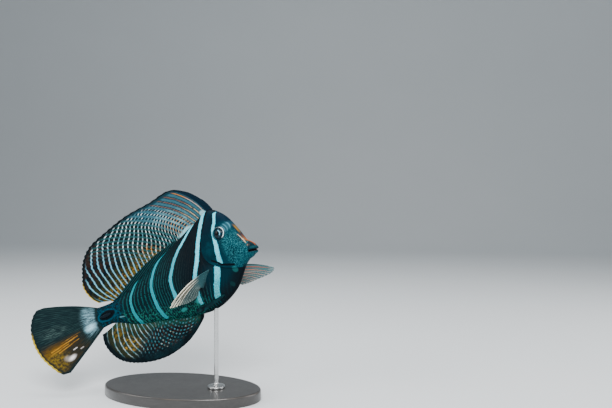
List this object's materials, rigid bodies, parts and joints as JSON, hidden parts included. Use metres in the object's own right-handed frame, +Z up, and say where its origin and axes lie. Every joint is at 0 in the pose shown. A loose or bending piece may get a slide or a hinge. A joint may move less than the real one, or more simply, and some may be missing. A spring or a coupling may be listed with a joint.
{
  "type": "sailfin tang display model",
  "caption": "Life-size still model of a swimming sailfin tang with tall banded fins, held by one rod on an oval plinth.",
  "frame": {"origin": "middle of the plinth's underside, on the surface that the model stands on", "axes": "+Z up, +X the way the fish swims at mid body, +Y the fish's left side"},
  "size_m": [0.2714, 0.1102, 0.2403],
  "materials": {
    "head_skin": "moist fish skin, dark teal with fine pale speckles",
    "trunk_skin": "moist fish skin, near black with pale bars and fine teal lines",
    "tail_base_skin": "moist fish skin, dark blue",
    "caudal_fin": "rayed fin, olive black with ochre lower lobe",
    "dorsal_fin": "rayed fin, black with pale rows and dots",
    "anal_fin": "rayed fin, black with pale rows and dots",
    "pectoral_fin": "thin clear membrane with pale rays",
    "pelvic_fin": "rayed fin, black",
    "eye": "clear glossy eye with a dark pupil",
    "tail_spine": "sheathed spine, dark",
    "plinth": "dark satin lacquer on wood",
    "rod": "brushed steel"
  },
  "bodies": {
    "root": {"head": "head_skin", "trunk": "trunk_skin", "tail_base": "tail_base_skin", "caudal_fin": "caudal_fin", "dorsal_fin": "dorsal_fin", "anal_fin": "anal_fin", "pectoral_fin_right": "pectoral_fin", "pectoral_fin_left": "pectoral_fin", "pelvic_fin_right": "pelvic_fin", "pelvic_fin_left": "pelvic_fin", "eye_right": "eye", "eye_left": "eye", "tail_spine_right": "tail_spine", "tail_spine_left": "tail_spine", "stand_base": "plinth", "stand_rod": "rod"}
  },
  "joints": []
}
